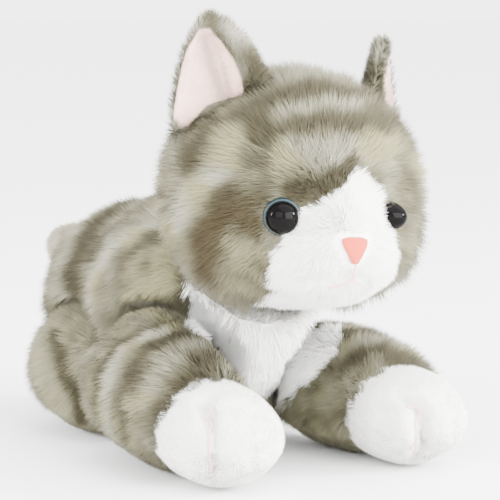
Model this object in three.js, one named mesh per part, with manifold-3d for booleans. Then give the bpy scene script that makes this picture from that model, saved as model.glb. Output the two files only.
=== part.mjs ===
// Plush tabby kitten lying down: sewn plush skins over polyester stuffing, safety eyes,
// flocked nose, thread mouth and toes, jointed at neck, shoulders, hips, ears and tail.
// Millimetres, Z up. The kitten faces -Y, its left side is +X, and it rests on z = 0.
import * as THREE from 'three';
import { mergeVertices } from 'three/addons/utils/BufferGeometryUtils.js';
import Module from 'manifold-3d';

const wasm = await Module();
wasm.setup();
const { Manifold } = wasm;

// ---------------------------------------------------------------- sizes
const GAP = 0.4;                 // air between neighbouring pieces
const SEAM = 0.4;                // gap between two sewn panels
const SKIN = 2.6;                // plush cloth and its dense pile
const BLEND = 4.0;               // softness of the join between two lobes
const SWEEP = 1.5;               // extra room cut around a moving limb

// Lobes are ellipsoids: centre x, y, z then radius x, y, z.
const TORSO = {
  middle: [0, 26, 48],
  lobes: [
    [0, 0, 59, 47, 56, 50],
    [0, 56, 52, 45.5, 48, 46.5],
    [0, 26, 25, 37, 56, 30.5],
  ],
};
const HEAD = {
  middle: [0, -2, -2],
  lobes: [
    [0, 0, 0, 51, 45, 47],
    [0, -36.5, -22, 25, 23, 19.5],
    [-20, -16, -22, 24, 24, 18],
    [20, -16, -22, 24, 24, 18],
  ],
};
const HEAD_CENTRE = [1.5, -63, 111];
const HEAD_YAW = -5;
const HEAD_ROLL = 3;
const NEST = 50.5;               // radius of the hollow the head turns in
const COLLAR_INNER = 49.6;
const COLLAR_OUTER = 52.0;
const COLLAR_NEST = 53.6;        // the deeper hollow under the collar

const FRONT_LEGS = {
  right: {
    middle: [-42, -52, 25],
    lobes: [
      [-40, -25, 32, 25, 29, 32],
      [-43, -54, 25.5, 24.5, 31, 25.5],
      [-42.5, -86, 20, 25, 27, 20],
    ],
    pivot: [-38, -20, 33],
    toes: -40,
  },
  left: {
    middle: [42, -54, 22],
    lobes: [
      [39, -33, 26, 24, 27, 26],
      [43, -58, 23, 23, 28, 23],
      [43.5, -86, 19.5, 23.5, 26, 19.5],
    ],
    pivot: [38, -24, 28],
    toes: -16,
  },
};
const PAW_LINE = { front: 64, slope: 0.4 };   // the white paw is where -y - slope * z > front
const HIND_LEGS = {
  middle: [-36, 38, 22],
  lobes: [
    [-36, 44, 28, 22, 32, 28],
    [-34, 28, 12.5, 13.5, 20, 12.5],
  ],
  pivot: [-34, 46, 28],
};
const HIND_PAW_LINE = { front: -17, slope: 0 };
const TAIL = {
  middle: [-5, 111, 70],
  lobes: [
    [-2, 99, 65, 12, 16, 12],
    [-8, 117, 72, 11.5, 18, 11.5],
  ],
  pivot: [-2, 97, 65],
};

// Ears are given in the head's own frame.
const EARS = {
  right: { inner: [-15, -5, 42], outer: [-50, 9, 19], tip: [-40, 3, 67] },
  left: { inner: [22, -7, 40], outer: [46, 14, 19], tip: [39, 3, 61] },
};
const EAR_CLOTH = 2.4;
const EAR_CUP = 9;
const EAR_FOOT = 2;               // how far an ear reaches below its base line

const KNOB_BALL = 9;
const KNOB_NECK = 5;
const KNOB_ROOM = 1.2;

const EYES = { right: [-22.8, -41, -7], left: [19.4, -42, -7] };
const EYE_RIM_RADIUS = 7.0;
const EYE_DOME_RADIUS = 6.0;
const SHANK_RADIUS = 1.8;

// Largest turns in degrees; the hollows in the parent skins are cut from these.
const LIMITS = {
  neckTurn: [-24, 24],
  shoulderSpread: [-6, 14],
  shoulderLift: [0, 22],
  hipSpread: [-4, 12],
  tailSwing: [-22, 22],
  earFold: [-14, 18],
};

// ---------------------------------------------------------------- colours
const LOOKS = {
  tabby: { color: '#a8a28f', roughness: 0.95, metalness: 0 },
  white: { color: '#f4f1ea', roughness: 0.95, metalness: 0 },
  lining: { color: '#ecd6cd', roughness: 0.9, metalness: 0 },
  fibre: { color: '#f7f7f5', roughness: 1, metalness: 0 },
  pellets: { color: '#d9d4c8', roughness: 0.9, metalness: 0 },
  pupil: { color: '#0b0c0e', roughness: 0.08, metalness: 0 },
  iris: { color: '#1d6670', roughness: 0.2, metalness: 0 },
  washer: { color: '#e9e9e6', roughness: 0.5, metalness: 0 },
  nose: { color: '#eda795', roughness: 0.9, metalness: 0 },
  thread: { color: '#efbccb', roughness: 0.8, metalness: 0 },
};

// ---------------------------------------------------------------- helpers
const cat = new THREE.Group();
cat.name = 'plush_cat';

function toSolid(geometry) {
  const plain = new THREE.BufferGeometry();
  plain.setAttribute('position', geometry.getAttribute('position'));
  plain.setIndex(geometry.getIndex());
  const merged = mergeVertices(plain, 1e-4);
  const mesh = new wasm.Mesh({
    numProp: 3,
    vertProperties: new Float32Array(merged.getAttribute('position').array),
    triVerts: new Uint32Array(merged.getIndex().array),
  });
  mesh.merge();
  return new Manifold(mesh);
}

function addPiece(name, solid, look) {
  const mesh = solid.getMesh();
  const geometry = new THREE.BufferGeometry();
  const positions = new Float32Array(mesh.vertProperties);
  geometry.setAttribute('position', new THREE.BufferAttribute(positions, 3));
  geometry.setIndex(new THREE.BufferAttribute(new Uint32Array(mesh.triVerts), 1));
  geometry.computeVertexNormals();
  const piece = new THREE.Mesh(geometry, new THREE.MeshStandardMaterial({ ...LOOKS[look] }));
  piece.name = name;
  cat.add(piece);
}

// Distance-like value to a smooth union of ellipsoids: negative inside.
function field(lobes, point) {
  let sum = 0;
  for (const [cx, cy, cz, rx, ry, rz] of lobes) {
    const q = new THREE.Vector3((point.x - cx) / rx, (point.y - cy) / ry, (point.z - cz) / rz);
    const size = q.length();
    const slope = Math.hypot(q.x / rx, q.y / ry, q.z / rz);
    const distance = size < 1e-4 ? -Math.min(rx, ry, rz) : (size * (size - 1)) / slope;
    sum += Math.exp(-distance / BLEND);
  }
  return -BLEND * Math.log(sum);
}

// A sphere pushed out along its rays until it meets the smooth union grown by `grow`.
function blob(shape, grow, across = 20, around = 14) {
  const geometry = new THREE.SphereGeometry(1, across, around);
  const middle = new THREE.Vector3(...shape.middle);
  const position = geometry.getAttribute('position');
  const ray = new THREE.Vector3();
  const probe = new THREE.Vector3();
  for (let i = 0; i < position.count; i += 1) {
    ray.fromBufferAttribute(position, i).normalize();
    let near = 0;
    let far = 160;
    for (let step = 0; step < 26; step += 1) {
      const half = (near + far) / 2;
      probe.copy(middle).addScaledVector(ray, half);
      if (field(shape.lobes, probe) < grow) {
        near = half;
      } else {
        far = half;
      }
    }
    probe.copy(middle).addScaledVector(ray, near);
    position.setXYZ(i, probe.x, probe.y, probe.z);
  }
  return toSolid(geometry);
}

function ball(centre, radius, across = 24, around = 16) {
  const geometry = new THREE.SphereGeometry(radius, across, around);
  geometry.translate(...centre);
  return toSolid(geometry);
}

function ellipsoid(centre, radii, across = 18, around = 12) {
  const geometry = new THREE.SphereGeometry(1, across, around);
  geometry.scale(...radii);
  geometry.translate(...centre);
  return toSolid(geometry);
}

function block(from, to) {
  const size = from.map((value, i) => to[i] - value);
  const centre = from.map((value, i) => (to[i] + value) / 2);
  const geometry = new THREE.BoxGeometry(...size);
  geometry.translate(...centre);
  return toSolid(geometry);
}

function placed(solid, matrix) {
  return solid.transform(matrix.elements);
}

// Rotation about a line through `pivot`, in degrees.
function turnMatrix(pivot, axis, degrees) {
  const centre = new THREE.Vector3(...pivot);
  const spin = new THREE.Matrix4().makeRotationAxis(
    new THREE.Vector3(...axis).normalize(),
    THREE.MathUtils.degToRad(degrees),
  );
  const back = new THREE.Matrix4().makeTranslation(-centre.x, -centre.y, -centre.z);
  const out = new THREE.Matrix4().makeTranslation(centre.x, centre.y, centre.z);
  return out.multiply(spin).multiply(back);
}

function mirroredShape(shape) {
  return {
    middle: [-shape.middle[0], shape.middle[1], shape.middle[2]],
    lobes: shape.lobes.map(([x, ...rest]) => [-x, ...rest]),
    pivot: [-shape.pivot[0], shape.pivot[1], shape.pivot[2]],
  };
}

function joined(solids) {
  return solids.reduce((total, solid) => total.add(solid));
}

// The convex room a solid needs while it turns through the given positions.
function sweptSolid(solid, turns) {
  return Manifold.hull(turns.map((matrix) => placed(solid, matrix)));
}

function swept(shape, room, turns, fine) {
  const body = fine ? blob(shape, room + 1.2, 12, 8) : blob(shape, room + 1.8, 8, 6);
  return sweptSolid(body, turns);
}

const headFrame = new THREE.Matrix4().makeTranslation(...HEAD_CENTRE)
  .multiply(new THREE.Matrix4().makeRotationZ(THREE.MathUtils.degToRad(HEAD_YAW)))
  .multiply(new THREE.Matrix4().makeRotationY(THREE.MathUtils.degToRad(HEAD_ROLL)));

// ---------------------------------------------------------------- limbs
const limbs = {
  right: FRONT_LEGS.right,
  left: FRONT_LEGS.left,
};
const hips = {
  right: HIND_LEGS,
  left: mirroredShape(HIND_LEGS),
};
const outward = { right: -1, left: 1 };

function shoulderTurns(side) {
  const { pivot } = limbs[side];
  const turns = [];
  for (const spread of LIMITS.shoulderSpread) {
    for (const lift of [0, 1]) {
      const raise = turnMatrix(pivot, [-1, 0, 0], lift * LIMITS.shoulderLift[1]);
      turns.push(turnMatrix(pivot, [0, 0, outward[side]], spread).multiply(raise));
    }
  }
  return turns;
}

function hipTurns(side) {
  const { pivot } = hips[side];
  return LIMITS.hipSpread.map((spread) => turnMatrix(pivot, [0, 0, outward[side]], spread));
}

function tailTurns() {
  return [LIMITS.tailSwing[0], 0, LIMITS.tailSwing[1]].map(
    (swing) => turnMatrix(TAIL.pivot, [0, 0, 1], swing),
  );
}

// ---------------------------------------------------------------- torso
const NECK_AIM = [0, 34, -34];
const COLLAR_RADIUS = 27;

// The round zone under the back of the head that the neck collar covers.
function collarZone(grow) {
  const aim = new THREE.Vector3(...NECK_AIM).setLength(50);
  const radius = COLLAR_RADIUS + grow;
  return ellipsoid(aim.add(new THREE.Vector3(...HEAD_CENTRE)).toArray(), [radius, radius, radius], 12, 8);
}

// The torso solid at a depth below its surface, hollowed for everything that moves in it.
function torsoSolid(depth) {
  const room = GAP + SWEEP + depth;
  const fine = depth === 0;
  let solid = fine ? blob(TORSO, 0, 18, 14) : blob(TORSO, -depth, 12, 9);
  solid = solid.trimByPlane([0, 0, 1], depth);
  if (fine) {
    const turns = LIMITS.neckTurn.map((turn) => turnMatrix(HEAD_CENTRE, [0, 0, 1], turn));
    const zone = sweptSolid(collarZone(3), turns);
    const pocket = ball(HEAD_CENTRE, COLLAR_NEST, 16, 12).intersect(zone);
    solid = solid.subtract(ball(HEAD_CENTRE, NEST, 16, 12).add(pocket));
  } else {
    solid = solid.subtract(ball(HEAD_CENTRE, COLLAR_NEST + depth + 0.5, 12, 9));
  }
  for (const side of ['right', 'left']) {
    solid = solid.subtract(swept(limbs[side], room, shoulderTurns(side), fine));
    solid = solid.subtract(swept(hips[side], room, hipTurns(side), fine));
  }
  return solid.subtract(swept(TAIL, room, tailTurns(), fine));
}

const torsoShell = torsoSolid(0).subtract(torsoSolid(SKIN));
const bibZone = ellipsoid([0, -62, 52], [38, 42, 44], 12, 8);
const bibZoneWide = ellipsoid([0, -62, 52], [38 + SEAM, 42 + SEAM, 44 + SEAM], 12, 8);
const bellyShell = torsoShell.trimByPlane([0, 0, -1], -4.5);
const upperShell = torsoShell.trimByPlane([0, 0, 1], 4.5 + SEAM);
const flankShell = upperShell.subtract(bibZoneWide);

addPiece('torso_skin_right', flankShell.trimByPlane([-1, 0, 0], SEAM / 2), 'tabby');
addPiece('torso_skin_left', flankShell.trimByPlane([1, 0, 0], SEAM / 2), 'tabby');
addPiece('belly_panel', bellyShell, 'tabby');
addPiece('chest_bib', upperShell.intersect(bibZone), 'white');

const pouchCentre = [0, 52, 24];
const pouch = ellipsoid(pouchCentre, [26, 30, 17], 10, 6);
const pouchRoom = ellipsoid(pouchCentre, [27.2, 31.2, 18.2], 10, 6);
const torsoCore = torsoSolid(SKIN + GAP);
addPiece('torso_stuffing', torsoCore.subtract(pouchRoom), 'fibre');
addPiece('pellet_pouch', pouch.intersect(torsoSolid(SKIN + GAP)), 'pellets');

// ---------------------------------------------------------------- neck
const collarBall = ball(HEAD_CENTRE, COLLAR_OUTER, 16, 12)
  .subtract(ball(HEAD_CENTRE, COLLAR_INNER, 16, 12));
addPiece('neck_collar', collarBall.intersect(collarZone(0)), 'tabby');

// ---------------------------------------------------------------- head
// Basis of one ear: across from inner to outer base point, up to the tip.
function earFrame(side) {
  const inner = new THREE.Vector3(...EARS[side].inner);
  const outer = new THREE.Vector3(...EARS[side].outer);
  const tip = new THREE.Vector3(...EARS[side].tip);
  const centre = inner.clone().add(outer).multiplyScalar(0.5);
  const across = outer.clone().sub(inner).multiplyScalar(outward[side]).normalize();
  const back = new THREE.Vector3().crossVectors(tip.clone().sub(centre), across).normalize();
  const up = new THREE.Vector3().crossVectors(across, back).normalize();
  const lean = tip.clone().sub(centre);
  return {
    matrix: new THREE.Matrix4().makeBasis(across, back, up).setPosition(centre),
    centre: centre.toArray(),
    across,
    half: outer.distanceTo(inner) / 2,
    height: lean.dot(up),
    shift: lean.dot(across),
  };
}

// One cupped layer of the ear between two depths behind its front face.
function earLayer(side, front, rear, shrink, across = 6, along = 5) {
  const frame = earFrame(side);
  const geometry = new THREE.BoxGeometry(2, 1, 1, across, 1, along);
  const position = geometry.getAttribute('position');
  const foot = EAR_FOOT - shrink;
  for (let i = 0; i < position.count; i += 1) {
    const u = position.getX(i);
    const v = position.getZ(i) + 0.5;
    const depth = position.getY(i) < 0 ? front : rear;
    const top = frame.height - shrink;
    const z = -foot + v * (top + foot);
    const rise = Math.max(0, z) / frame.height;
    const full = Math.sqrt(Math.max(0.004, 1 - rise ** 1.9)) * (1 - 0.3 * rise);
    const half = Math.max(1.4, frame.half * full - shrink);
    const x = u * half + frame.shift * rise;
    const cup = EAR_CUP * (u * half / frame.half) ** 2;
    const lean = -1.5 * rise;
    position.setXYZ(i, x, depth - cup + lean, z);
  }
  return placed(toSolid(geometry), frame.matrix);
}

function earWhole(side, room) {
  return earLayer(side, -EAR_CLOTH - room, EAR_CLOTH + room, -room, 3, 3);
}

function earTurns(side) {
  const frame = earFrame(side);
  return [LIMITS.earFold[0], 0, LIMITS.earFold[1]].map(
    (fold) => turnMatrix(frame.centre, frame.across.toArray(), fold),
  );
}

function eyeMatrix(side) {
  const centre = new THREE.Vector3(...EYES[side]);
  const [, , , rx, ry, rz] = HEAD.lobes[0];
  const normal = new THREE.Vector3(centre.x / rx ** 2, centre.y / ry ** 2, centre.z / rz ** 2);
  normal.normalize();
  const probe = centre.clone().addScaledVector(normal, -12);
  while (field(HEAD.lobes, probe) < 0.0) {
    probe.addScaledVector(normal, 0.05);
  }
  const spin = new THREE.Quaternion().setFromUnitVectors(new THREE.Vector3(0, 0, 1), normal);
  return new THREE.Matrix4().compose(probe, spin, new THREE.Vector3(1, 1, 1));
}

// A round plate standing on the eye axis between two heights above the skin.
function eyeDisc(side, radius, low, high, segments = 20) {
  const geometry = new THREE.CylinderGeometry(radius, radius, high - low, segments);
  geometry.rotateX(Math.PI / 2);
  geometry.translate(0, 0, (low + high) / 2);
  return placed(toSolid(geometry), eyeMatrix(side));
}

function headSolid(depth) {
  let solid = depth === 0 ? blob(HEAD, 0, 18, 14) : blob(HEAD, -depth, 10, 9);
  for (const side of ['right', 'left']) {
    const ear = earWhole(side, GAP + 0.5 + depth);
    solid = solid.subtract(sweptSolid(ear, earTurns(side)));
    solid = solid.subtract(eyeDisc(side, EYE_RIM_RADIUS + 0.6 + depth, -1.0 - depth, 30, 14));
  }
  return solid;
}

const eyeHoles = joined(['right', 'left'].map((side) => joined([
  eyeDisc(side, SHANK_RADIUS + GAP, -22, 5, 8),
  eyeDisc(side, 7 + GAP, -10.5, -6.5, 10),
])));
const shankHoles = joined(['right', 'left'].map(
  (side) => eyeDisc(side, SHANK_RADIUS + GAP, -22, 5, 8),
));
const eyeSurrounds = [10.5, 10.5 - SEAM].map(
  (radius) => joined(['right', 'left'].map((side) => eyeDisc(side, radius, -40, 40, 16))),
);
const headShell = headSolid(0).subtract(headSolid(SKIN)).subtract(shankHoles);

// White face: a broad muzzle patch running up the bridge of the nose to a point.
const faceOutline = [
  [5, 11], [8, 3], [11, -3], [15, -7], [18, -12], [23, -16], [27, -23], [27, -30], [21, -37],
  [-21, -37], [-27, -30], [-27, -22], [-22, -15], [-17, -12], [-15, -6], [-9, -3], [-3, 2],
];

// A prism running front to back from an outline drawn in the head's x-z plane.
function frontPrism(outline, grow, from, to) {
  const centre = new THREE.Vector2();
  outline.forEach(([x, z]) => centre.add(new THREE.Vector2(x, z)));
  centre.divideScalar(outline.length);
  const points = outline.map(([x, z]) => {
    const arm = new THREE.Vector2(x, z).sub(centre);
    return arm.setLength(arm.length() + grow).add(centre);
  });
  const geometry = new THREE.ExtrudeGeometry(new THREE.Shape(points), {
    depth: to - from,
    bevelEnabled: false,
  });
  geometry.rotateX(Math.PI / 2);
  geometry.translate(0, to, 0);
  return toSolid(geometry);
}

const CHIN_LINE = -32;
const faceZone = frontPrism(faceOutline, 0, -80, -14).subtract(eyeSurrounds[0]);
const faceZoneWide = frontPrism(faceOutline, SEAM, -80, -14 + SEAM).subtract(eyeSurrounds[1]);
const chinZone = block([-24, -80, -60], [24, -14, CHIN_LINE]);
const chinZoneWide = block([-24 - SEAM, -80, -60], [24 + SEAM, -14 + SEAM, CHIN_LINE + SEAM]);
const furShell = headShell.subtract(faceZoneWide).subtract(chinZoneWide);
const GUSSET = 9;
const headPieces = [
  ['head_skin_right', furShell.trimByPlane([-1, 0, 0], GUSSET + SEAM), 'tabby'],
  ['head_skin_left', furShell.trimByPlane([1, 0, 0], GUSSET + SEAM), 'tabby'],
  ['head_gusset', furShell.trimByPlane([-1, 0, 0], -GUSSET).trimByPlane([1, 0, 0], -GUSSET), 'tabby'],
  ['face_panel', headShell.intersect(faceZone).subtract(chinZoneWide), 'white'],
  ['chin_panel', headShell.intersect(chinZone), 'white'],
];

const muzzleBall = ellipsoid([0, -35, -22], [20.5, 18.5, 15], 12, 8);
const muzzleRoom = ellipsoid([0, -35, -22], [21.5, 19.5, 16], 12, 8);
const headCore = headSolid(SKIN + GAP).subtract(eyeHoles);
headPieces.push(['head_stuffing', headCore.subtract(muzzleRoom), 'fibre']);
headPieces.push(['muzzle_stuffing', muzzleBall.intersect(headCore), 'fibre']);

for (const side of ['right', 'left']) {
  const dome = ball([0, 0, 0], 1, 14, 8).scale([EYE_DOME_RADIUS, EYE_DOME_RADIUS, 4.4]);
  const domeCap = placed(dome.translate([0, 0, 1.2]).trimByPlane([0, 0, 1], 1.2), eyeMatrix(side));
  const rim = joined([
    eyeDisc(side, EYE_RIM_RADIUS, -0.6, 0.9, 20),
    eyeDisc(side, SHANK_RADIUS, -14, 0, 8),
  ]);
  const washer = eyeDisc(side, 7, -9.2, -7.8, 10)
    .subtract(eyeDisc(side, SHANK_RADIUS + 0.3, -12, -5, 8));
  headPieces.push([`eye_dome_${side}`, domeCap, 'pupil']);
  headPieces.push([`eye_rim_${side}`, rim, 'iris']);
  headPieces.push([`eye_washer_${side}`, washer, 'washer']);
}

// Flocked nose and the thread mouth follow the muzzle surface.
const noseOutline = [
  [-5, -12.5], [-2, -11.6], [4, -11.6], [7, -12.6], [6.4, -15], [1, -22.5], [-1, -22.5], [-4.8, -15],
];
const nosePad = blob(HEAD, 2.1, 28, 20).subtract(blob(HEAD, GAP, 18, 14));
headPieces.push(['nose', nosePad.intersect(frontPrism(noseOutline, 0, -80, -30)), 'nose']);

function threadRun(points, width) {
  const runs = [];
  for (let i = 0; i + 1 < points.length; i += 1) {
    const [x0, z0] = points[i];
    const [x1, z1] = points[i + 1];
    const span = Math.hypot(x1 - x0, z1 - z0) + width * 0.6;
    const geometry = new THREE.BoxGeometry(span, 60, width);
    geometry.rotateY(-Math.atan2(z1 - z0, x1 - x0));
    geometry.translate((x0 + x1) / 2, -50, (z0 + z1) / 2);
    runs.push(toSolid(geometry));
  }
  return joined(runs);
}

const mouthLines = joined([
  threadRun([[0, -23], [0, -29]], 0.9),
  threadRun([[0, -29], [-4.5, -31], [-10, -31.5]], 0.9),
  threadRun([[0, -29], [4.5, -31], [10, -31.5]], 0.9),
]);
const threadLayer = blob(HEAD, 1.5, 18, 14).subtract(blob(HEAD, GAP, 18, 14));
headPieces.push(['mouth_stitch', threadLayer.intersect(mouthLines), 'thread']);

for (const side of ['right', 'left']) {
  headPieces.push([`ear_back_${side}`, earLayer(side, 0.45, EAR_CLOTH, 0), 'tabby']);
  headPieces.push([`ear_lining_${side}`, earLayer(side, -EAR_CLOTH, -0.45, 2.2), 'lining']);
}
for (const [name, solid, look] of headPieces) {
  addPiece(name, placed(solid, headFrame), look);
}

// ---------------------------------------------------------------- front legs
function pawSplit(shell, line) {
  const size = Math.hypot(1, line.slope);
  return {
    paw: shell.trimByPlane([0, -1 / size, -line.slope / size], line.front / size),
    sleeve: shell.trimByPlane([0, 1 / size, line.slope / size], SEAM - line.front / size),
  };
}

// A ball with a short neck reaching the body side of the limb: the limb lifts around it.
function shoulderKnob(side, grow) {
  const { pivot } = limbs[side];
  const neck = new THREE.CylinderGeometry(KNOB_NECK + grow, KNOB_NECK + grow, 40, 10);
  neck.rotateZ(Math.PI / 2);
  neck.translate(pivot[0] - outward[side] * 20, pivot[1], pivot[2]);
  return ball(pivot, KNOB_BALL + grow, 10, 7).add(toSolid(neck));
}

for (const side of ['right', 'left']) {
  const leg = limbs[side];
  const outer = blob(leg, 0, 14, 11).trimByPlane([0, 0, 1], 0);
  const inner = blob(leg, -SKIN, 9, 7).trimByPlane([0, 0, 1], SKIN);
  const core = blob(leg, -SKIN - GAP, 9, 7).trimByPlane([0, 0, 1], SKIN + GAP);
  const socket = shoulderKnob(side, KNOB_ROOM);
  const shell = outer.subtract(inner).subtract(socket);
  const { paw, sleeve } = pawSplit(shell, PAW_LINE);
  addPiece(`front_sleeve_${side}`, sleeve, 'tabby');
  addPiece(`front_paw_${side}`, paw, 'white');
  addPiece(`front_stuffing_${side}`, core.subtract(socket), 'fibre');
  addPiece(`shoulder_knob_${side}`, shoulderKnob(side, 0).intersect(blob(leg, 0, 10, 8)), 'fibre');
  const toeTurn = turnMatrix([leg.lobes[2][0], leg.lobes[2][1], 0], [0, 0, 1], leg.toes);
  const [toeX, toeY] = leg.lobes[2];
  const toeBlade = placed(block([toeX - 0.5, toeY - 40, 4], [toeX + 0.5, toeY - 8, 38]), toeTurn);
  const layer = blob(leg, 1.4, 14, 11).subtract(blob(leg, GAP, 14, 11));
  addPiece(`toe_stitch_${side}`, layer.intersect(toeBlade), 'thread');
}

// ---------------------------------------------------------------- hind legs
for (const side of ['right', 'left']) {
  const leg = hips[side];
  const outer = blob(leg, 0, 12, 10).trimByPlane([0, 0, 1], 0);
  const inner = blob(leg, -SKIN, 8, 6).trimByPlane([0, 0, 1], SKIN);
  const core = blob(leg, -SKIN - GAP, 8, 6).trimByPlane([0, 0, 1], SKIN + GAP);
  const { paw, sleeve } = pawSplit(outer.subtract(inner), HIND_PAW_LINE);
  addPiece(`hind_sleeve_${side}`, sleeve, 'tabby');
  addPiece(`hind_paw_${side}`, paw, 'white');
  addPiece(`hind_stuffing_${side}`, core, 'fibre');
}

// ---------------------------------------------------------------- tail
const tailOuter = blob(TAIL, 0, 12, 10);
const tailInner = blob(TAIL, -SKIN, 8, 6);
const tailShell = tailOuter.subtract(tailInner);
const TAIL_MOUTH = 91;
addPiece('tail_skin', tailShell.trimByPlane([0, 1, 0], TAIL_MOUTH), 'tabby');
addPiece('tail_stuffing', blob(TAIL, -SKIN - GAP, 8, 6), 'fibre');

export default cat;
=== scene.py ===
import bmesh
import bpy
import numpy as np
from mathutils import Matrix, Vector
from mathutils.bvhtree import BVHTree


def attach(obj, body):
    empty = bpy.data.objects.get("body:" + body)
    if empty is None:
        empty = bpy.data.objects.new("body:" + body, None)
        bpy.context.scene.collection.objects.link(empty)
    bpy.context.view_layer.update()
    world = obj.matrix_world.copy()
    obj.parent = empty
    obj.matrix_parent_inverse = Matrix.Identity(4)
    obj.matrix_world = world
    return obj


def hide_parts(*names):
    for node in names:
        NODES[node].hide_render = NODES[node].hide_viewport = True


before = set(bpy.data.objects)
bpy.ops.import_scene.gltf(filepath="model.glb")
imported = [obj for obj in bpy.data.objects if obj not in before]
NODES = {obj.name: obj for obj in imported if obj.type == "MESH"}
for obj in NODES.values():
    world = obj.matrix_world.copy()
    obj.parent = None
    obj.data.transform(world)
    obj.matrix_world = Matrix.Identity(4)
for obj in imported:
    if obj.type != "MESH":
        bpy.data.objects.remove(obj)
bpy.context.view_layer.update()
SIM_FRAMES = 20
SEAM_WIDTH = 2.2

# ---------------------------------------------------------------- small helpers, all lengths in mm


def unit(v):
    return v / np.maximum(np.linalg.norm(v, axis=-1, keepdims=True), 1e-9)


def srgb(r, g, b):
    c = np.array([r, g, b], float) / 255
    return np.where(c <= 0.04045, c / 12.92, ((c + 0.055) / 1.055) ** 2.4)


def smooth(x, a, b):
    t = np.clip((x - a) / (b - a), 0, 1)
    return t * t * (3 - 2 * t)


def ripple(p, size, seed, n=10):
    """Smooth random field of about that feature size, from -1 to 1."""
    r = np.random.default_rng(seed)
    k = unit(r.normal(size=(n, 3))) * (2 * np.pi / size) * r.uniform(0.6, 1.5, (n, 1))
    return np.sin(p @ k.T + r.uniform(0, 6.28, n)).sum(1) * (1.2 / np.sqrt(n))


def ripple3(p, size, seed):
    return np.stack([ripple(p, size, seed + i) for i in range(3)], 1)


def to_line(p, points):
    """Distance from each point of p to a polyline."""
    q = np.array(points, float)
    best = np.full(len(p), 1e9)
    if len(q) == 1:
        return np.linalg.norm(p - q[0], axis=1)
    for a, b in zip(q[:-1], q[1:]):
        t = np.clip(((p - a) @ (b - a)) / max((b - a) @ (b - a), 1e-9), 0, 1)
        best = np.minimum(best, np.linalg.norm(p - a - t[:, None] * (b - a), axis=1))
    return best


def coords(me):
    co = np.empty(len(me.vertices) * 3, np.float32)
    me.vertices.foreach_get("co", co)
    return co.reshape(-1, 3).astype(float) * 1000


def set_coords(me, p):
    me.vertices.foreach_set("co", (p / 1000).astype(np.float32).ravel())
    me.update()


def normals(me):
    no = np.empty(len(me.vertices) * 3, np.float32)
    me.vertex_normals.foreach_get("vector", no)
    return no.reshape(-1, 3).astype(float)


def mesh_of(name, verts, faces, smooth_shade=True):
    """A mesh object from points in mm and faces of equal size."""
    verts, faces = np.asarray(verts, float), np.asarray(faces, np.int32)
    me = bpy.data.meshes.new(name)
    k = faces.shape[1]
    me.vertices.add(len(verts))
    me.loops.add(faces.size)
    me.polygons.add(len(faces))
    me.vertices.foreach_set("co", (verts / 1000).astype(np.float32).ravel())
    me.loops.foreach_set("vertex_index", faces.ravel())
    me.polygons.foreach_set("loop_start", np.arange(0, faces.size, k, dtype=np.int32))
    me.polygons.foreach_set("use_smooth", np.full(len(faces), smooth_shade))
    me.update(calc_edges=True)
    o = bpy.data.objects.new(name, me)
    bpy.context.scene.collection.objects.link(o)
    return o


def evaluated(o):
    """Applies every modifier of o."""
    dg = bpy.context.evaluated_depsgraph_get()
    me = bpy.data.meshes.new_from_object(o.evaluated_get(dg), depsgraph=dg)
    o.modifiers.clear()
    o.data = me
    return o


def tree(names):
    """BVH of CAD nodes, in mm."""
    verts, faces = [], []
    for n in names:
        me = NODES[n].data
        at = len(verts)
        verts += [v.co * 1000 for v in me.vertices]
        faces += [[at + i for i in p.vertices] for p in me.polygons]
    return BVHTree.FromPolygons(verts, faces)


def bvh_of(o):
    """BVH of a Blender mesh object, in mm."""
    return BVHTree.FromPolygons(
        [v.co * 1000 for v in o.data.vertices], [list(f.vertices) for f in o.data.polygons]
    )


def distances(p, bvh, limit=60.0):
    out = np.full(len(p), limit)
    for i, q in enumerate(p):
        hit = bvh.find_nearest(q, limit)
        if hit[0] is not None:
            out[i] = hit[3]
    return out


def store(me, name, values):
    a = me.attributes.get(name) or me.attributes.new(name, "FLOAT_VECTOR", "POINT")
    a.data.foreach_set("vector", np.asarray(values, np.float32).ravel())


# ---------------------------------------------------------------- stuffed skins


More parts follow.
